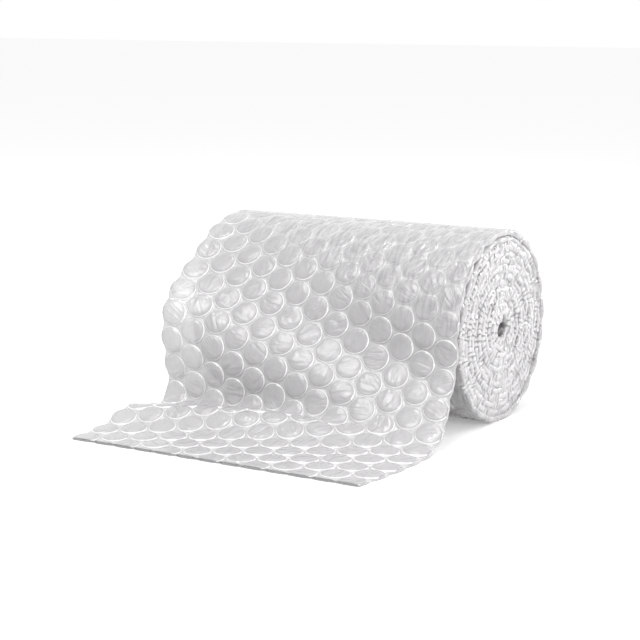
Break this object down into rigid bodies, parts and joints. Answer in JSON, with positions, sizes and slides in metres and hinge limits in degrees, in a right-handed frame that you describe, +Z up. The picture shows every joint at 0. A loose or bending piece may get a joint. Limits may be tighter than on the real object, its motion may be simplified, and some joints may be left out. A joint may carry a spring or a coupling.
{
  "type": "air bubble film roll",
  "caption": "Soft roll of clear air bubble cushioning film lying on its side, with its loose end pulled forward over the floor for wrapping and padding goods.",
  "frame": {"origin": "middle of the flat spot that the roll rests on, below its axis at mid-width", "axes": "+X along the roll's axis, -Y the way the loose end is pulled, +Z up"},
  "size_m": [0.3125, 0.3709, 0.1846],
  "materials": {
    "clear_film": "clear low-density polyethylene, glossy, hazy where layers lie over each other"
  },
  "bodies": {
    "root": {"bubble_film": "clear_film"}
  },
  "joints": []
}
